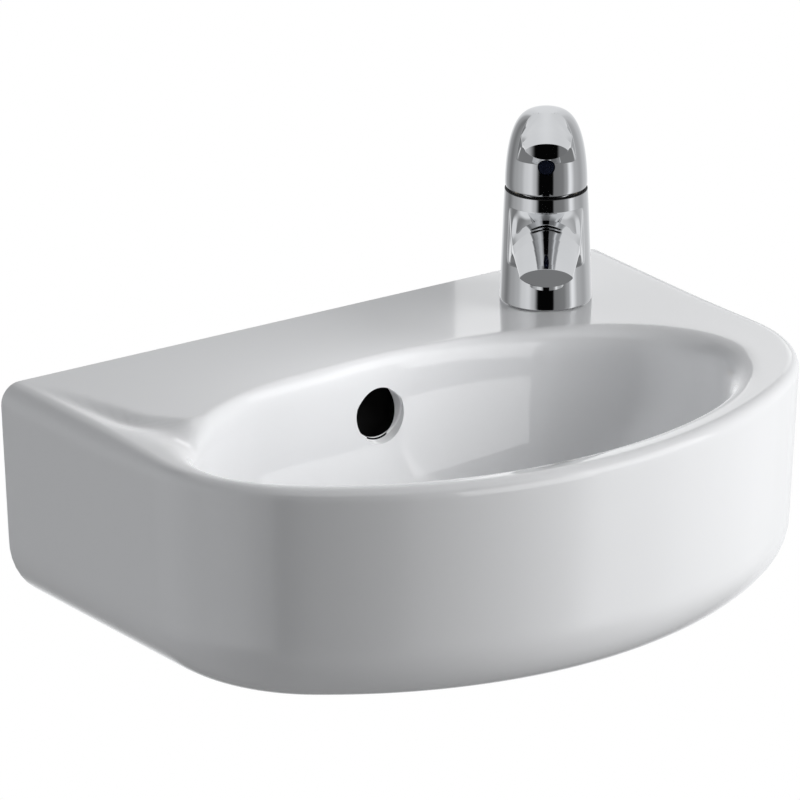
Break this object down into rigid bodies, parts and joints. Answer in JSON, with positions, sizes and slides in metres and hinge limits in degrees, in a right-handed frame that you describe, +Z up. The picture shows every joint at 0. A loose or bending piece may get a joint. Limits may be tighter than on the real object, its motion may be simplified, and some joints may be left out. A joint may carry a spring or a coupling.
{
  "type": "wall-hung washbasin",
  "caption": "Small wall-hung ceramic washbasin with an oval bowl, overflow, push-button waste and a chrome single-lever mixer tap on its right shoulder.",
  "frame": {"origin": "on the wall plane, midway between the two wall-bolt holes in the basin's back", "axes": "+X to the right along the wall for a user facing it, +Y into the wall, +Z up; the basin reaches out along -Y"},
  "size_m": [0.3988, 0.2811, 0.2603],
  "materials": {
    "glaze": "gloss",
    "chrome": "polished",
    "index": "gloss",
    "disc_ceramic": "lapped",
    "cartridge_plastic": "matt",
    "outlet_plastic": "matt",
    "brass": "machined",
    "steel": "zinc plated",
    "rubber": "matt"
  },
  "bodies": {
    "root": {"basin": "glaze", "tap_body": "chrome", "outlet_shell": "chrome", "cartridge_base": "cartridge_plastic", "cartridge_case": "cartridge_plastic", "fixed_disc": "disc_ceramic", "cartridge_nut": "brass", "cartridge_collar": "chrome", "outlet_washer": "rubber", "outlet_screen": "outlet_plastic", "base_seal": "rubber", "clamp_pad": "rubber", "clamp_plate": "steel", "fixing_stud": "steel", "clamp_nut": "brass", "waste_body": "chrome", "flange_seal": "rubber", "tail_seal": "rubber", "back_nut": "brass", "click_barrel": "cartridge_plastic", "click_spring": "steel"},
    "swivel": {"cartridge_carrier": "cartridge_plastic", "pivot_pin": "steel"},
    "lever": {"tap_lever": "chrome", "cartridge_spindle": "brass", "lever_grub_screw": "steel", "index_plug": "index"},
    "disc": {"moving_disc": "disc_ceramic"},
    "plug": {"waste_plug": "chrome", "plug_seal": "rubber", "plug_stem": "brass"}
  },
  "joints": [
    {"name": "lever_swivel", "type": "hinge", "parent": "root", "child": "swivel", "pos_m": [0.1225, -0.0505, 0.1255], "axis": [0, 0, 1], "range_deg": [-45, 45]},
    {"name": "lever_lift", "type": "hinge", "parent": "swivel", "child": "lever", "pos_m": [0.1225, -0.0505, 0.1255], "axis": [-0.8161, 0.5779, 0], "range_deg": [0, 25]},
    {"name": "disc_slide", "type": "slide", "parent": "swivel", "child": "disc", "axis": [-0.5779, -0.8161, 0], "range_m": [0, 0.00381]},
    {"name": "plug_press", "type": "slide", "parent": "root", "child": "plug", "axis": [0, 0, -1], "range_m": [0, 0.008], "deforming": ["click_spring"]}
  ],
  "couplings": [
    {"joint": "disc_slide", "follows": "lever_lift", "m_per_rad": 0.0087171}
  ]
}
